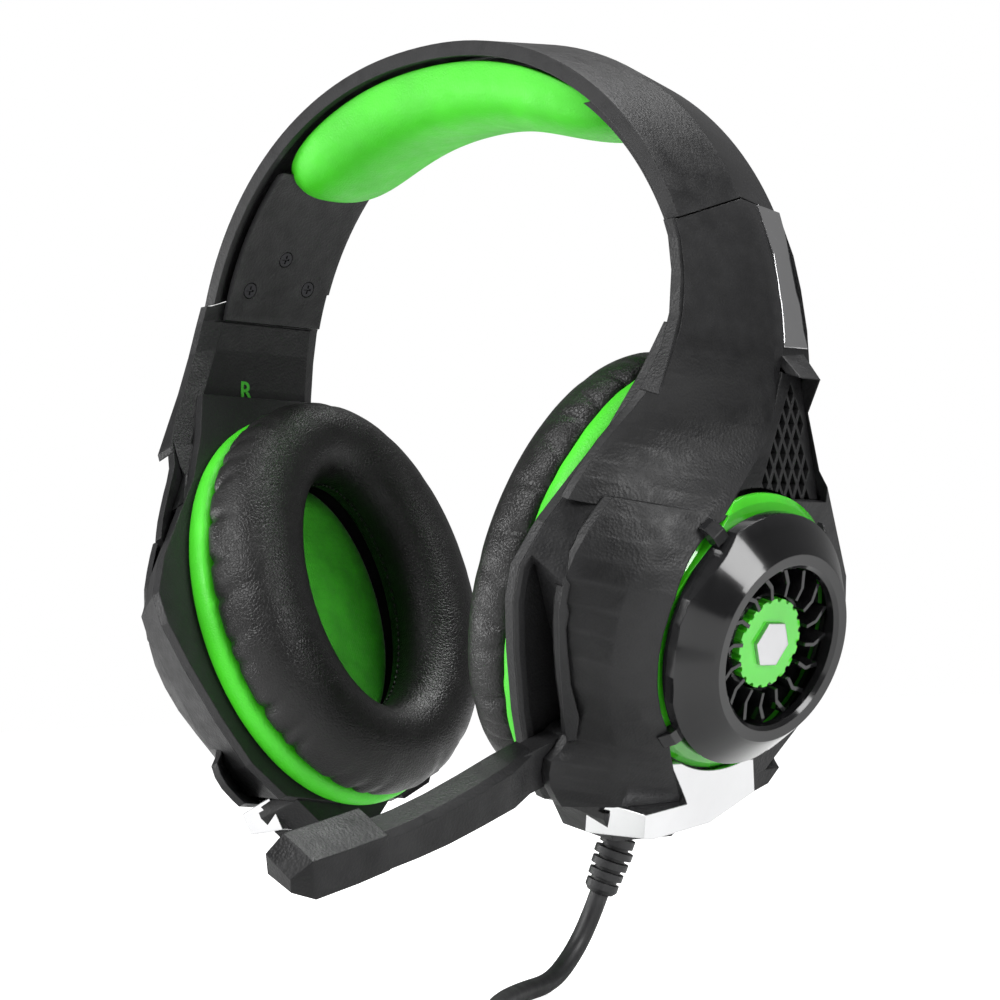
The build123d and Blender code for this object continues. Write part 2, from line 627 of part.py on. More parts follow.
tube, tube_length = cord_tube(cord_route)
keep("cord_tube", tube)
tail, tail_length = cord_tube(tail_route)
keep("cord_tail", tail)
coil_base = floor_z + tie_thickness
coil_height = coil_layers * cord_diameter
coil = Pos(*coil_centre, coil_base) * (
    Cylinder(coil_outer, coil_height, align=upright)
    - Cylinder(coil_inner, coil_height, align=upright))
keep("cord_coil", coil)
tie_near = sqrt(coil_inner ** 2 - (tie_width / 2) ** 2) - 0.1
tie_far = coil_outer + 0.1
tie = Box(tie_far - tie_near + 2 * tie_thickness, tie_width, coil_height + 2 * tie_thickness)
tie -= Box(tie_far - tie_near, tie_width, coil_height)
tie_middle = (tie_near + tie_far) / 2
keep("cord_tie", Pos(coil_centre[0] + tie_middle, coil_centre[1], floor_z + tie_thickness + coil_height / 2) * tie)

plug_start = Vector(*tail_route[-1])
plug_dir = Vector(tail_route[-1][0] - tail_route[-2][0], tail_route[-1][1] - tail_route[-2][1], 0).normalized()
plug_place = Plane(origin=plug_start, z_dir=plug_dir)
plug_profile = (
    (0, 0), (2.6, 0), (2.9, 7), (plug_radius, 8.5), (plug_radius, plug_length - 2), (3.0, plug_length),
    (1.2, plug_length), (1.2, plug_length - 6), (0, plug_length - 6))
plug_body = plug_place * revolve(make_face(Polyline(*[(x, 0, z) for x, z in plug_profile], close=True)), axis=Axis.Z)
keep("plug_body", plug_body)
jack_end = plug_length + jack_length
jack_profile = (
    (0, plug_length - 6), (1.2, plug_length - 6), (1.2, plug_length), (jack_radius, plug_length),
    (jack_radius, jack_end - 3.4), (1.2, jack_end - 2.6), (jack_radius, jack_end - 1.6), (0.6, jack_end), (0, jack_end))
plug_jack = plug_place * revolve(make_face(Polyline(*[(x, 0, z) for x, z in jack_profile], close=True)), axis=Axis.Z)
keep("plug_jack", plug_jack)
turn_radius = (coil_inner + coil_outer) / 2
turns = coil_layers * (coil_outer - coil_inner) / cord_diameter - 1
print("cord length", round(tube_length + tail_length + turns * 2 * pi * turn_radius))
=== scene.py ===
import json
import math
import random

import bmesh
import bpy
from mathutils import Matrix, Vector


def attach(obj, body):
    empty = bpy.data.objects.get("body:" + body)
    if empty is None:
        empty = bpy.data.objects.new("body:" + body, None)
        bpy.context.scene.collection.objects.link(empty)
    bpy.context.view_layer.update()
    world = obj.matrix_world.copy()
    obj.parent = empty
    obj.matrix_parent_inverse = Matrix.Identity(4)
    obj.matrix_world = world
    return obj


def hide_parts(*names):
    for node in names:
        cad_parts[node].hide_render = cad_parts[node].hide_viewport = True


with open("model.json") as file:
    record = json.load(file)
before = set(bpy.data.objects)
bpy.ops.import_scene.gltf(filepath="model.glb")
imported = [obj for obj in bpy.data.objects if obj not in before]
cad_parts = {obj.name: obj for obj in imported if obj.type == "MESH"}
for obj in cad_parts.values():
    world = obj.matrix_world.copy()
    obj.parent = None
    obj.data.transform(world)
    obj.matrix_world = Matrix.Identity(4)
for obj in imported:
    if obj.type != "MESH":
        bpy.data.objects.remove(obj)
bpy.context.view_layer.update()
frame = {"nodes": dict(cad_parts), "record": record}
nodes = frame["nodes"]
slot_of = {part["node"]: part["material_slot"] for part in frame["record"]["subparts"]}

MM = 0.001
SIDES = {"left": 1, "right": -1}

# ---- Camera and floor ----
camera_eye = (455.94, -490.67, -138.77)     # mm
camera_azimuth = 42.671                     # degrees round from straight in front
camera_height_angle = -4.019
camera_roll = 2.273
camera_lens = 97.1
floor_z = -207.5
floor_half = 6000.0
floor_glow = 0.86                           # what the camera sees of the floor's own light
world_light = 0.22
studio_lights = (                           # name, place and side in metres, power in watts
    ("key", (-0.35, -1.2, 0.75), 0.7, 17),
    ("side", (1.25, -0.1, 0.45), 0.5, 9),
    ("top", (0.15, 0.3, 1.3), 0.9, 24),
    ("inner", (-0.9, -0.5, -0.1), 0.4, 5),
)
light_aim = (0.0, 0.0, -0.1)

# ---- Cup frame: n outward, r to the rear, u up along the cup ----
cup_centre = Vector((58.4, -6.2, -116.9))
cup_lean = 19.08
cup_toe = -1.12
ellipse_tilt = 7.5

# ---- Ear pad ----
skirt_up = 52.8
skirt_rear = 41.2
pad_up = 54.0
pad_rear = 42.4
hole_up = 31.8
hole_rear = 18.3
seam_n = -7.2                   # the pad's seam with its skirt
pad_base_n = -9.0               # the pad is held still from here to the cup
pleat_count = 34
cloth_up = 36.0
cloth_rear = 23.0
stitch_count = 96
stitch_n = -11.5
stitch_radius = 0.28
stitch_half = 0.3               # half a stitch's length, as a share of the step between stitches
pad_steps = 120
skirt_steps = 150
cloth_steps = 72

# ---- Headband cushion ----
band_half_width = 85.7
band_rise = 85.4
band_power = 2.133
band_centre_z = -66.0
cushion_half_angle = 43.0
cushion_depth = 19.2
cushion_end_depth = 5.2
cushion_top_depth = 4.6         # its top's depth below the band's outer curve
cushion_steps = 26              # from its middle to an end
cushion_loop = 28
cushion_y = -1.0
cushion_half_width = 17.4

# ---- Fan face ----
face_r = 1.3
face_u = -3.1
clip_angles = (50, 130, 230, 310)
clip_profile = ((28.6, 26.6), (28.6, 29.2), (30.8, 28.4), (32.7, 26.2), (32.7, 24.6))     # out and n
clip_half_width = 1.9

# ---- Moulded pieces ----
crease = 32                     # edges sharper than this stay sharp
letter_size = 7.0
letter_y = -8.2
letter_z = -56.7

# ---- Cord ----
cord_diameter = 4.5
cord_route = (
    (46.9, -18.6, -186.2), (44.3, -20.2, -193.6), (43.3, -26.0, -201.0), (44.6, -34.4, -205.25),
    (49.8, -49.0, -205.25), (59.0, -66.5, -205.25), (72.5, -83.0, -205.25), (84.0, -102.0, -205.25),
    (96.0, -131.0, -205.25),
)
tail_route = ((133.0, -180.4, -204.6), (141.5, -186.2, -204.3), (154.5, -188.7, -203.9))
coil_centre = (149.0, -143.5)
coil_outer_turn = 38.25
coil_inner_turn = 11.25
coil_entry_x = 104.0            # where the cord joins the outer turn
coil_entry_y = -151.0
coil_turns = 6                  # in each of the two layers
coil_low_z = -204.25
coil_high_z = -199.75
points_per_turn = 14

lean_turn = Matrix.Rotation(math.radians(cup_lean), 4, "Y")
toe_turn = Matrix.Rotation(math.radians(cup_toe), 4, "Z")
turn_to_cup = lean_turn @ toe_turn


# ---------------------------------------------------------------- helpers
def metres(points):
    return [Vector(point) * MM for point in points]


def cup_point(n, r, u, side="left"):
    """A point of a cup's own frame, in metres in the part's frame."""
    point = (cup_centre + turn_to_cup @ Vector((n, r, u))) * MM
    return Vector((point.x * SIDES[side], point.y, point.z))


def oval_point(rear, up, angle, n, side="left"):
    """A point of an oval about the ear pad's tilted axis."""
    tilt = math.radians(ellipse_tilt)
    r = rear * math.sin(angle)
    u = up * math.cos(angle)
    tilted_r = r * math.cos(tilt) + u * math.sin(tilt)
    tilted_u = u * math.cos(tilt) - r * math.sin(tilt)
    return cup_point(n, tilted_r, tilted_u, side)


def band_point(angle, depth):
    """X and Z of a point below the headband's outer curve, at an angle from straight up."""
    across = abs(math.sin(angle)) ** (2 / band_power)
    up = math.cos(angle) ** (2 / band_power)
    slope_x = across ** (band_power - 1) / band_half_width
    slope_z = up ** (band_power - 1) / band_rise
    size = math.hypot(slope_x, slope_z)
    x = band_half_width * across - depth * slope_x / size
    z = band_centre_z + band_rise * up - depth * slope_z / size
    return math.copysign(x, angle), z


def new_object(name, points, faces, smooth=True):
    """A mesh object from points in metres, with its faces turned outward."""
    mesh = bpy.data.meshes.new(name)
    mesh.from_pydata([tuple(point) for point in points], [], faces)
    build = bmesh.new()
    build.from_mesh(mesh)
    bmesh.ops.recalc_face_normals(build, faces=build.faces)
    build.to_mesh(mesh)
    build.free()
    for face in mesh.polygons:
        face.use_smooth = smooth
    piece = bpy.data.objects.new(name, mesh)
    bpy.context.scene.collection.objects.link(piece)
    return piece


def looped(name, rings, closed=True):
    """Quads between rings of points, from the last ring back to the first, or capped where it isn't closed."""
    size = len(rings[0])
    points = [point for ring in rings for point in ring]
    faces = []
    for row in range(len(rings) if closed else len(rings) - 1):
        after = (row + 1) % len(rings)
        for column in range(size):
            beside = (column + 1) % size
            faces.append(
                (row * size + column, row * size + beside, after * size + beside, after * size + column))
    if not closed:
        faces.append(tuple(range(size)))
        faces.append(tuple(range((len(rings) - 1) * size, len(rings) * size)))
    return new_object(name, points, faces)


def subdivided(piece, levels):
    """The piece with its mesh subdivided, and shaded smooth."""
    smoother = piece.modifiers.new("subdivide", "SUBSURF")
    smoother.levels = levels
    view = bpy.context.evaluated_depsgraph_get()
    mesh = bpy.data.meshes.new_from_object(piece.evaluated_get(view))
    piece.modifiers.clear()
    piece.data = mesh
    for face in mesh.polygons:
        face.use_smooth = True
    return piece


def puffed(piece, held, pressure, cap):
    """Swell a closed cover by cloth simulation. held is a point's firmness, cap the furthest it may move."""
    scene = bpy.context.scene
    before = [vertex.co.copy() for vertex in piece.data.vertices]
    group = piece.vertex_groups.new(name="held")
    for vertex in piece.data.vertices:
        group.add([vertex.index], held(vertex.co), "REPLACE")
    settings = piece.modifiers.new("cloth", "CLOTH").settings
    settings.quality = 4
    settings.vertex_group_mass = group.name
    settings.use_pressure = True
    settings.uniform_pressure_force = pressure
    settings.effector_weights.gravity = 0
    for step in range(1, 21):
        scene.frame_set(step)
    view = bpy.context.evaluated_depsgraph_get()
    swollen = [vertex.co.copy() for vertex in piece.evaluated_get(view).data.vertices]
    scene.frame_set(1)
    piece.modifiers.clear()
    piece.vertex_groups.clear()
    for vertex, old, new in zip(piece.data.vertices, before, swollen):
        move = new - old
        if move.length > cap:
            move *= cap / move.length
        vertex.co = old + move
    return piece


def moulded(node):
    """A copy of a moulded CAD piece, shaded smooth up to the crease angle, to be shown in its place."""
    source = bmesh.new()
    source.from_mesh(nodes[node].data)
    bmesh.ops.remove_doubles(source, verts=source.verts, dist=1e-6)
    source.verts.index_update()
    points = [vertex.co.copy() for vertex in source.verts]
    faces = [[vertex.index for vertex in face.verts] for face in source.faces]
    source.free()
    piece = new_object(node + "_moulding", points, faces)
    piece.data.set_sharp_from_angle(angle=math.radians(crease))
    weighted = piece.modifiers.new("weighted", "WEIGHTED_NORMAL")
    weighted.keep_sharp = True
    return piece


def dress(piece, body, slot, *replaced):
    """Give a piece its material and its body, and hide the CAD nodes that it stands for."""
    piece.data.materials.clear()
    piece.data.materials.append(looks[slot])
    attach(piece, body)
    if replaced:
        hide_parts(*replaced)
    return piece


# ---------------------------------------------------------------- camera, lights and floor
def add_camera():
    azimuth = math.radians(camera_azimuth)
    height = math.radians(camera_height_angle)
    roll = math.radians(camera_roll)
    back = Vector((
        math.sin(azimuth) * math.cos(height), -math.cos(azimuth) * math.cos(height), math.sin(height)))
    level = Vector((math.cos(azimuth), math.sin(azimuth), 0))
    above = back.cross(level)
    right = level * math.cos(roll) - above * math.sin(roll)
    up = level * math.sin(roll) + above * math.cos(roll)
    camera = bpy.data.objects.new("camera", bpy.data.cameras.new("camera"))
    bpy.context.scene.collection.objects.link(camera)
    turn = Matrix((right, up, back)).transposed().to_4x4()
    camera.matrix_world = Matrix.Translation(Vector(camera_eye) * MM) @ turn
    camera.data.lens = camera_lens
    camera.data.sensor_width = 36
    camera.data.clip_start = 0.01
    bpy.context.scene.camera = camera


def add_light(name, place, size, power):
    light = bpy.data.lights.new(name, "AREA")
    light.size = size
    light.energy = power
    lamp = bpy.data.objects.new(name, light)
    bpy.context.scene.collection.objects.link(lamp)
    lamp.location = place
    lamp.rotation_euler = (Vector(light_aim) - Vector(place)).to_track_quat("-Z", "Y").to_euler()


def add_studio():
    """A white background for the camera and a dim grey one for the light, area lights and the floor."""
    world = bpy.data.worlds.new("studio")
    world.use_nodes = True
    tree = world.node_tree
    seen = node_in(tree, "ShaderNodeBackground", Color=(1.0, 1.0, 1.0, 1), Strength=1.0)
    cast = node_in(tree, "ShaderNodeBackground", Color=(1.0, 1.0, 1.0, 1), Strength=world_light)
    mix = tree.nodes.new("ShaderNodeMixShader")
    tree.links.new(tree.nodes.new("ShaderNodeLightPath").outputs["Is Camera Ray"], mix.inputs["Fac"])
    tree.links.new(cast.outputs["Background"], mix.inputs[1])
    tree.links.new(seen.outputs["Background"], mix.inputs[2])
    tree.links.new(mix.outputs["Shader"], tree.nodes["World Output"].inputs["Surface"])
    bpy.context.scene.world = world
    bpy.context.scene.view_settings.view_transform = "Standard"
    for name, place, size, power in studio_lights:
        add_light(name, place, size, power)
    corners = [(x * floor_half, y * floor_half, floor_z) for x, y in ((-1, -1), (1, -1), (1, 1), (-1, 1))]
    floor = new_object("floor", metres(corners), [(0, 1, 2, 3)])
    floor.data.materials.append(looks["floor"])


# ---------------------------------------------------------------- materials
def node_in(tree, kind, **values):
    """A shader node with its properties and inputs set by name."""
    node = tree.nodes.new(kind)
    for name, value in values.items():
        if name in node.inputs:
            node.inputs[name].default_value = value
        else:
            setattr(node, name, value)
    return node


def noise_at(tree, place, scale, detail=4.0, rough=0.55, distortion=0.0):
    texture = node_in(
        tree, "ShaderNodeTexNoise", Scale=scale, Detail=detail, Roughness=rough, Distortion=distortion)
    tree.links.new(place, texture.inputs["Vector"])
    return texture.outputs["Fac"]


def cells_at(tree, place, scale, feature="DISTANCE_TO_EDGE", stray=1.0):
    texture = node_in(tree, "ShaderNodeTexVoronoi", feature=feature, Scale=scale, Randomness=stray)
    tree.links.new(place, texture.inputs["Vector"])
    return texture.outputs["Distance"]


def stretched(tree, place, scale):
    mapping = node_in(tree, "ShaderNodeMapping", Scale=scale)
    tree.links.new(place, mapping.inputs["Vector"])
    return mapping.outputs["Vector"]


def mapped(tree, value, low, high, from_low=0.3, from_high=0.7):
    remap = node_in(tree, "ShaderNodeMapRange")
    remap.inputs["From Min"].default_value = from_low
    remap.inputs["From Max"].default_value = from_high
    remap.inputs["To Min"].default_value = low
    remap.inputs["To Max"].default_value = high
    tree.links.new(value, remap.inputs["Value"])
    return remap.outputs["Result"]


def bumped(tree, height, depth, strength, below=None):
    """One layer of relief, in metres, over the layer below."""
    bump = node_in(tree, "ShaderNodeBump", Strength=strength, Distance=depth)
    tree.links.new(height, bump.inputs["Height"])
    if below is not None:
        tree.links.new(below, bump.inputs["Normal"])
    return bump.outputs["Normal"]


def start(name, colour, roughness, variety=0.25, scale=45.0, rough_range=0.08, edge=0.0, **fixed):
    """A material with mottled colour, uneven gloss and, where edge is set, a paler colour along its sharp
    edges.
    """
    material = bpy.data.materials.new(name)
    material.use_nodes = True
    tree = material.node_tree
    shader = tree.nodes["Principled BSDF"]
    for key, value in fixed.items():
        shader.inputs[key.replace("_", " ")].default_value = value
    place = tree.nodes.new("ShaderNodeTexCoord").outputs["Object"]
    mottle = noise_at(tree, place, scale, 6.0)
    ramp = tree.nodes.new("ShaderNodeValToRGB")
    ramp.color_ramp.elements[0].position = 0.3
    ramp.color_ramp.elements[1].position = 0.7
    ramp.color_ramp.elements[0].color = [part * (1 - variety) for part in colour] + [1]
    ramp.color_ramp.elements[1].color = [min(1, part * (1 + variety)) for part in colour] + [1]
    tree.links.new(mottle, ramp.inputs["Fac"])
    shade = ramp.outputs["Color"]
    if edge:
        pointed = tree.nodes.new("ShaderNodeNewGeometry").outputs["Pointiness"]
        sharp = mapped(tree, pointed, 0.0, edge, 0.52, 0.6)
        mix = node_in(tree, "ShaderNodeMixRGB")
        mix.inputs["Color2"].default_value = [min(1, part * 2.2 + 0.02) for part in colour] + [1]
        tree.links.new(sharp, mix.inputs["Fac"])
        tree.links.new(shade, mix.inputs["Color1"])
        shade = mix.outputs["Color"]
    tree.links.new(shade, shader.inputs["Base Color"])
    gloss = noise_at(tree, place, scale * 5, 3.0)
    unevenness = mapped(tree, gloss, roughness - rough_range, roughness + rough_range)
    tree.links.new(unevenness, shader.inputs["Roughness"])
    return material, tree, shader, place


def round_edges(tree, radius):
    return node_in(tree, "ShaderNodeBevel", samples=4, Radius=radius).outputs["Normal"]


def plastic(name, colour, roughness, grain=0.0, grain_scale=1500.0, bevel=0.0004, **more):
    """Moulded plastic: a fine spark-eroded grain, or smooth and glossy where grain is 0."""
    material, tree, shader, place = start(name, colour, roughness, edge=0.35, **more)
    normal = round_edges(tree, bevel)
    waves = noise_at(tree, place, 90.0, 2.0)
    normal = bumped(tree, waves, 0.0002, 0.05, normal)
    if grain:
        normal = bumped(tree, cells_at(tree, place, grain_scale, "F1"), 0.00012, grain, normal)
        normal = bumped(tree, noise_at(tree, place, grain_scale * 0.45, 5.0), 0.0002, grain * 0.8, normal)
    tree.links.new(normal, shader.inputs["Normal"])
    return material


def leather(name, colour, roughness, pore=1100.0, depth=0.4, **more):
    """Leatherette: small cells with creases between, over soft larger wrinkles."""
    material, tree, shader, place = start(name, colour, roughness, variety=0.14, **more)
    wrinkles = noise_at(tree, stretched(tree, place, (1.0, 1.0, 2.2)), 130.0, 5.0, 0.6, 1.2)
    normal = bumped(tree, wrinkles, 0.0006, depth * 0.55)
    pores = mapped(tree, cells_at(tree, place, pore), 0.0, 1.0, 0.0, 0.25)
    normal = bumped(tree, pores, 0.00012, depth, normal)
    normal = bumped(tree, noise_at(tree, place, pore * 1.6, 3.0), 0.0001, depth * 0.5, normal)
    tree.links.new(normal, shader.inputs["Normal"])
    return material


def cloth(name, colour, roughness, thread=1400.0, depth=0.5, **more):
    """Fine knitted cloth with a short nap."""
    material, tree, shader, place = start(name, colour, roughness, variety=0.2, scale=160.0, **more)
    loops = cells_at(tree, stretched(tree, place, (1.0, 1.0, 0.6)), thread, "F1", 0.4)
    normal = bumped(tree, loops, 0.00025, depth)
    normal = bumped(tree, noise_at(tree, place, thread * 2.0, 4.0), 0.0002, depth * 0.8, normal)
    tree.links.new(normal, shader.inputs["Normal"])
    return material


def metal(name, colour, roughness, brushed=0.0, bevel=0.0004, **more):
    """Plated or bare metal, with a grain along it where brushed is set."""
    material, tree, shader, place = start(
        name, colour, roughness, variety=0.05, rough_range=0.03, Metallic=1.0, **more)
    normal = round_edges(tree, bevel)
    if brushed:
        grain = noise_at(tree, stretched(tree, place, (1, 1, 0.04)), 2500.0, 3.0)
        normal = bumped(tree, grain, 0.0001, brushed, normal)
    normal = bumped(tree, noise_at(tree, place, 60.0, 2.0), 0.0003, 0.12, normal)
    tree.links.new(normal, shader.inputs["Normal"])
    return material


looks = {
    "satin_black": plastic("satin_black", (0.008, 0.008, 0.0085), 0.42, grain=0.35, Specular_IOR_Level=0.3),
    "matte_black": plastic("matte_black", (0.007, 0.007, 0.0075), 0.45, grain=0.45, Specular_IOR_Level=0.28),
    "gloss_black": plastic("gloss_black", (0.004, 0.004, 0.0045), 0.14, rough_range=0.03,
                           Specular_IOR_Level=0.35, Coat_Weight=0.35, Coat_Roughness=0.05),
    "ring_green": plastic("ring_green", (0.04, 0.42, 0.008), 0.16, rough_range=0.03, Coat_Weight=0.8,
                          Coat_Roughness=0.05, Subsurface_Weight=0.15, Subsurface_Scale=0.003),
    "leather_green": leather("leather_green", (0.055, 0.62, 0.012), 0.5, depth=0.3),
    "leather_black": leather("leather_black", (0.008, 0.0078, 0.0078), 0.4, depth=0.5,
                             Specular_IOR_Level=0.35),
    "cloth_green": cloth("cloth_green", (0.05, 0.5, 0.012), 0.85, Sheen_Weight=0.3, Sheen_Roughness=0.4),
    "chrome_trim": metal("chrome_trim", (0.72, 0.72, 0.73), 0.12),
    "satin_silver": metal("satin_silver", (0.6, 0.6, 0.61), 0.32),
    "bright_steel": metal("bright_steel", (0.55, 0.55, 0.56), 0.25, brushed=0.4),
    "screw_black": metal("screw_black", (0.03, 0.03, 0.032), 0.35, bevel=0.0001),
    "steel": metal("steel", (0.3, 0.3, 0.31), 0.38),
    "cone_film": plastic("cone_film", (0.05, 0.05, 0.055), 0.35, grain=0.1),
    "circuit_board": plastic("circuit_board", (0.01, 0.1, 0.03), 0.4, grain=0.1),
    "cord_rubber": plastic("cord_rubber", (0.011, 0.011, 0.012), 0.48, grain=0.15, bevel=0.0002),
    "tie_black": cloth("tie_black", (0.012, 0.012, 0.012), 0.9),
    "jack_metal": metal("jack_metal", (0.83, 0.6, 0.28), 0.2, bevel=0.0001),
    "side_letter": plastic("side_letter", (0.03, 0.3, 0.01), 0.5),
    "floor": plastic("floor", (0.8, 0.8, 0.8), 0.7, variety=0.01, Emission_Color=(1, 1, 1, 1)),
}


def light_floor():
    """Let the floor glow for the camera alone, so it is as white as the background."""
    tree = looks["floor"].node_tree
    glow = node_in(tree, "ShaderNodeMath", operation="MULTIPLY")
    glow.inputs[1].default_value = floor_glow
    tree.links.new(tree.nodes.new("ShaderNodeLightPath").outputs["Is Camera Ray"], glow.inputs[0])
    tree.links.new(glow.outputs["Value"], tree.nodes["Principled BSDF"].inputs["Emission Strength"])


light_floor()
for name, node in nodes.items():
    for material_slot in node.material_slots:
        material_slot.material = looks[slot_of[name]]

add_camera()
add_studio()


# ---------------------------------------------------------------- cord
def coil_points():
    """Two flat layers of turns: inward along the floor, then outward on top of them."""
    points = []
    first = math.atan2(coil_entry_y - coil_centre[1], coil_entry_x - coil_centre[0])

    def add(turns_done, radius, z):
        angle = first + 2 * math.pi * turns_done
        x = coil_centre[0] + radius * math.cos(angle)
        y = coil_centre[1] + radius * math.sin(angle)
        points.append((x, y, z))

    spread = coil_outer_turn - coil_inner_turn
    steps = coil_turns * points_per_turn
    for step in range(steps + 1):
        add(step / points_per_turn, coil_outer_turn - spread * step / steps, coil_low_z)
    rise = points_per_turn // 2
    for step in range(1, rise):
        z = coil_low_z + (coil_high_z - coil_low_z) * step / rise
        add(coil_turns + step / points_per_turn, coil_inner_turn, z)
    for step in range(steps + 1):
        done = coil_turns + (rise + step) / points_per_turn
        add(done, coil_inner_turn + spread * step / steps, coil_high_z)
    done = 2 * coil_turns + rise / points_per_turn
    for step in range(1, 8):
        add(done + step / points_per_turn, coil_outer_turn, coil_high_z)
    add(done + 8 / points_per_turn, coil_outer_turn + 2.6, coil_high_z - 1.4)
    add(done + 8.9 / points_per_turn, coil_outer_turn + 4.9, coil_low_z - 0.2)
    return points


def add_cord():
    """The whole cord as one curve, from the strain relief to the plug."""
    points = metres(list(cord_route) + coil_points() + list(tail_route))
    curve = bpy.data.curves.new("headset_cord", "CURVE")
    curve.dimensions = "3D"
    spline = curve.splines.new("NURBS")
    spline.points.add(len(points) - 1)
    for control, point in zip(spline.points, points):
        control.co = (*point, 1)
    spline.order_u = 3
    spline.use_endpoint_u = True
    spline.resolution_u = 5
    curve.bevel_depth = cord_diameter / 2 * MM
    curve.bevel_resolution = 5
    curve.use_fill_caps = True
    piece = bpy.data.objects.new("headset_cord", curve)
    bpy.context.scene.collection.objects.link(piece)
    dress(piece, "left_cup", "cord_rubber", "cord_tube", "cord_coil", "cord_tail")


add_cord()


# ---------------------------------------------------------------- ear pads
pad_profile = (
    # share of the way from the hole to the rim, and n
    (0.04, -7.6), (0.01, -11.0), (0.0, -15.0), (0.04, -19.0), (0.14, -22.6), (0.3, -24.9), (0.48, -25.5),
    (0.66, -24.7), (0.82, -22.4), (0.94, -18.6), (0.99, -14.0), (0.985, -10.2), (0.95, -7.9), (0.84, -7.2),
    (0.6, -7.2), (0.35, -7.2), (0.14, -7.2),
)


skirt_profile = (
    # out from the oval, and n
    (0.0, -0.3), (0.5, -1.2), (0.95, -2.6), (1.1, -4.2), (0.9, -5.8), (0.2, -7.0), (-1.6, -7.4),
    (-5.0, -7.2), (-5.6, -4.0), (-5.0, -0.4), (-2.0, -0.2),
)
cloth_profile = (
    # share of the way to the cloth's edge, and n
    (0.02, -3.6), (0.2, -3.5), (0.4, -3.2), (0.6, -2.8), (0.8, -2.4), (0.92, -2.2), (1.0, -1.9),
    (1.0, -1.2), (0.7, -1.1), (0.4, -1.1), (0.02, -1.1),
)


def pleats():
    """Where each gather in the pad's side runs: its angle, depth, reach towards the face and slant."""
    draw = random.Random(11)
    made = []
    for number in range(pleat_count):
        angle = 2 * math.pi * (number + draw.uniform(-0.3, 0.3)) / pleat_count
        made.append((angle, draw.uniform(0.5, 1.5), draw.uniform(6.0, 13.0), draw.uniform(-0.05, 0.05)))
    return made


def gather(piece, side):
    """Press the pleats into the pad's side, deepest at the seam with the skirt."""
    to_cup = turn_to_cup.inverted()
    folds = pleats()
    tilt = math.radians(ellipse_tilt)
    for vertex in piece.data.vertices:
        place = Vector((vertex.co.x * SIDES[side], vertex.co.y, vertex.co.z)) / MM - cup_centre
        n, r, u = to_cup @ place
        along = r * math.cos(tilt) - u * math.sin(tilt)
        up = u * math.cos(tilt) + r * math.sin(tilt)
        angle = math.atan2(along / pad_rear, up / pad_up)
        share = (math.hypot(along / pad_rear, up / pad_up) - 0.45) / 0.55
        if share < 0.3:
            continue
        side_weight = min(1.0, (share - 0.3) / 0.5)
        height = seam_n - n
        push = 0.0
        for fold_angle, depth, reach, slant in folds:
            gap = (angle - fold_angle - slant * height / 10 + math.pi) % (2 * math.pi) - math.pi
            width = 0.022 + 0.002 * height
            push += depth * math.exp(-(gap / width) ** 2) * math.exp(-(max(0.0, height) / reach) ** 2)
            push -= 0.18 * depth * math.exp(-(gap / 0.085) ** 2) * math.exp(-((height - 6) / 6) ** 2)
        inward = turn_to_cup @ Vector((0.0, -r, -u)).normalized()
        move = inward * push * side_weight * MM
        vertex.co += Vector((move.x * SIDES[side], move.y, move.z))


def add_ear_pad(side):
    """The pad's cover, swollen and then gathered at the seam."""
    rings = []
    for step in range(pad_steps):
        angle = 2 * math.pi * step / pad_steps
        ring = []
        for share, n in pad_profile:
            rear = hole_rear + (pad_rear - hole_rear) * share
            up = hole_up + (pad_up - hole_up) * share
            ring.append(oval_point(rear, up, angle, n, side))
        rings.append(ring)
    pad = looped(f"{side}_pad_cover", rings)

    def held(co):
        place = Vector((co.x * SIDES[side], co.y, co.z)) / MM - cup_centre
        return 1.0 if (turn_to_cup.inverted() @ place).x > pad_base_n else 0.0

    puffed(pad, held, 3.0, 1.6 * MM)
    subdivided(pad, 2)
    gather(pad, side)
    dress(pad, f"{side}_cup", "leather_black", f"{side}_ear_pad")


def add_skirt(side):
    """The padded green rim between the cup and the pad, with a slight sway in its seam."""
    draw = random.Random(5)
    rings = []
    for step in range(skirt_steps):
        angle = 2 * math.pi * step / skirt_steps
        sway = 0.25 * draw.uniform(-1, 1)
        rings.append([oval_point(skirt_rear + out, skirt_up + out, angle, n + sway * (n / -7.4), side)
                      for out, n in skirt_profile])
    skirt = subdivided(looped(f"{side}_skirt_cover", rings), 1)
    dress(skirt, f"{side}_cup", "leather_green", f"{side}_pad_skirt")


def add_speaker_cloth(side):
    """A stretched cloth with its edge turned in under the pad."""
    rings = []
    for share, n in cloth_profile:
        ring = []
        for step in range(cloth_steps):
            angle = 2 * math.pi * step / cloth_steps
            ring.append(oval_point(cloth_rear * share, cloth_up * share, angle, n, side))
        rings.append(ring)
    sheet = subdivided(looped(f"{side}_ear_cloth", rings, closed=False), 1)
    dress(sheet, f"{side}_cup", "cloth_green", f"{side}_speaker_cloth")


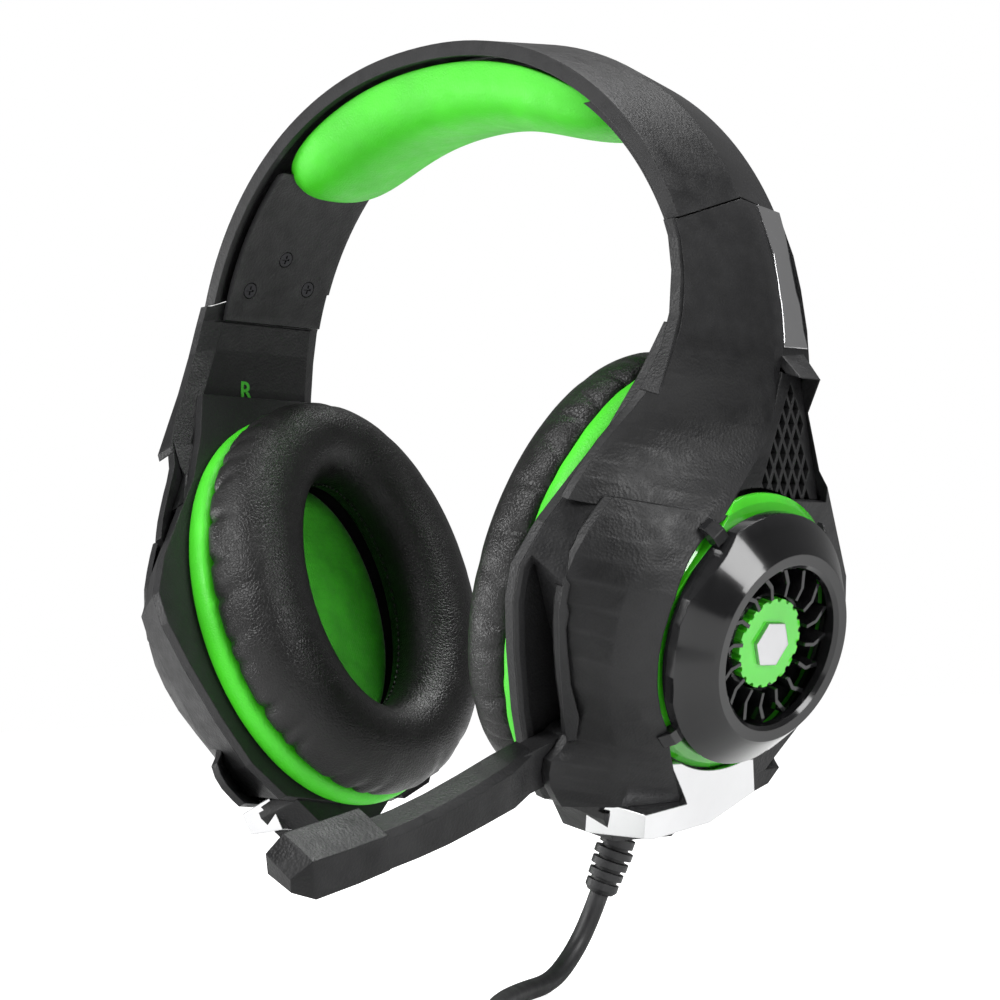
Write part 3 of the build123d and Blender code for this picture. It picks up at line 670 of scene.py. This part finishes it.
def add_stitches(side):
    """The row of stitches round the hole's inner wall."""
    axis = (cup_point(-1, 0, 0, side) - cup_point(0, 0, 0, side)).normalized()
    points = []
    faces = []
    for number in range(stitch_count):
        for end in (-stitch_half, stitch_half):
            angle = 2 * math.pi * (number + end) / stitch_count
            centre = oval_point(hole_rear + 0.1, hole_up + 0.1, angle, stitch_n, side)
            inside = oval_point(hole_rear - 0.9, hole_up - 0.9, angle, stitch_n, side)
            offset = (inside - centre).normalized()
            for corner in range(6):
                turn = 2 * math.pi * corner / 6
                outward = offset * math.cos(turn) + axis * math.sin(turn)
                points.append(centre + outward * stitch_radius * MM)
        base = number * 12
        for corner in range(6):
            beside = (corner + 1) % 6
            faces.append((base + corner, base + beside, base + 6 + beside, base + 6 + corner))
        faces.append(tuple(base + corner for corner in range(6)))
        faces.append(tuple(base + 6 + corner for corner in range(6)))
    dress(new_object(f"{side}_pad_stitches", points, faces), f"{side}_cup", "leather_black")


for side in SIDES:
    add_ear_pad(side)
    add_skirt(side)
    add_speaker_cloth(side)
    add_stitches(side)


# ---------------------------------------------------------------- headband cushion
def cushion_section(share):
    """One closed loop across the cushion, at a share of the way from its middle to an end."""
    angle = math.radians(cushion_half_angle) * share
    fullness = math.sqrt(max(0.0, 1 - abs(share) ** 4.4))
    half = cushion_half_width * max(0.0, 1 - abs(share) ** 9) ** 0.5
    depth = cushion_end_depth + (cushion_depth - cushion_end_depth) * fullness
    ring = []
    for step in range(cushion_loop):
        turn = 2 * math.pi * step / cushion_loop
        across = math.copysign(abs(math.cos(turn)) ** 0.75, math.cos(turn))
        down = math.copysign(abs(math.sin(turn)) ** 0.72, math.sin(turn))
        low = depth - cushion_top_depth if down > 0 else 0.3
        x, z = band_point(angle, cushion_top_depth + low * down)
        ring.append(Vector((x, cushion_y + half * across, z)) * MM)
    return ring


def add_cushion():
    """The headband's cushion, held still along the band and swollen below it."""
    steps = cushion_steps
    shares = [math.sin(math.pi / 2 * step / steps) * 0.995 for step in range(-steps, steps + 1)]
    cushion = looped("headband_pad", [cushion_section(share) for share in shares], closed=False)

    def held(co):
        height = co.z - band_centre_z * MM
        x, z = band_point(math.atan2(co.x, height), 6.0)
        reach = math.hypot(x, z - band_centre_z) * MM
        return 1.0 if math.hypot(co.x, height) > reach else 0.0

    puffed(cushion, held, 3.0, 1.5 * MM)
    subdivided(cushion, 2)
    dress(cushion, "headband", "leather_green", "headband_cushion")


add_cushion()


# ---------------------------------------------------------------- moulded pieces, clips and letters
for side in SIDES:
    dress(moulded(f"{side}_cup_cover"), f"{side}_cup", "satin_black", f"{side}_cup_cover")
dress(moulded("boom_arm"), "boom", "satin_black", "boom_arm")
dress(moulded("mic_head"), "boom", "matte_black", "mic_head")


def add_ring_clips(side):
    """The small tabs that hold the green ring."""
    points = []
    faces = []
    for angle in clip_angles:
        turn = math.radians(angle)
        base = len(points)
        for out, n in clip_profile:
            for half in (-clip_half_width, clip_half_width):
                r = face_r + out * math.cos(turn) - half * math.sin(turn)
                u = face_u + out * math.sin(turn) + half * math.cos(turn)
                points.append(cup_point(n, r, u, side))
        size = len(clip_profile)
        for row in range(size):
            after = (row + 1) % size
            faces.append((base + 2 * row, base + 2 * row + 1, base + 2 * after + 1, base + 2 * after))
        faces.append(tuple(base + 2 * row for row in range(size)))
        faces.append(tuple(base + 2 * row + 1 for row in range(size)))
    dress(new_object(f"{side}_ring_clips", points, faces, smooth=False), f"{side}_cup", "gloss_black")


def add_side_letter(side, letter):
    """The letter on the arm's inner face that says which ear it is for."""
    start_point = Vector((0.02 * SIDES[side], letter_y * MM, letter_z * MM))
    found, hit, normal, _ = nodes[f"{side}_housing"].ray_cast(start_point, Vector((SIDES[side], 0, 0)))
    if not found:
        raise RuntimeError(f"no arm behind the {side} letter")
    text = bpy.data.curves.new(f"{side}_letter", "FONT")
    text.body = letter
    text.size = letter_size * MM
    text.extrude = 0.25 * MM
    text.offset = 0.12 * MM
    text.align_x = "CENTER"
    text.align_y = "CENTER"
    out = normal.normalized()
    reading = Vector((0, -SIDES[side], 0))
    reading = (reading - out * reading.dot(out)).normalized()
    upward = out.cross(reading)
    source = bpy.data.objects.new("letter_source", text)
    bpy.context.scene.collection.objects.link(source)
    view = bpy.context.evaluated_depsgraph_get()
    mesh = bpy.data.meshes.new_from_object(source.evaluated_get(view))
    bpy.data.objects.remove(source)
    turn = Matrix((reading, upward, out)).transposed().to_4x4()
    mesh.transform(Matrix.Translation(hit) @ turn)
    piece = bpy.data.objects.new(f"{side}_letter", mesh)
    bpy.context.scene.collection.objects.link(piece)
    piece.data.materials.append(looks["side_letter"])
    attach(piece, f"{side}_cup")


for side, letter in (("left", "L"), ("right", "R")):
    add_ring_clips(side)
    add_side_letter(side, letter)
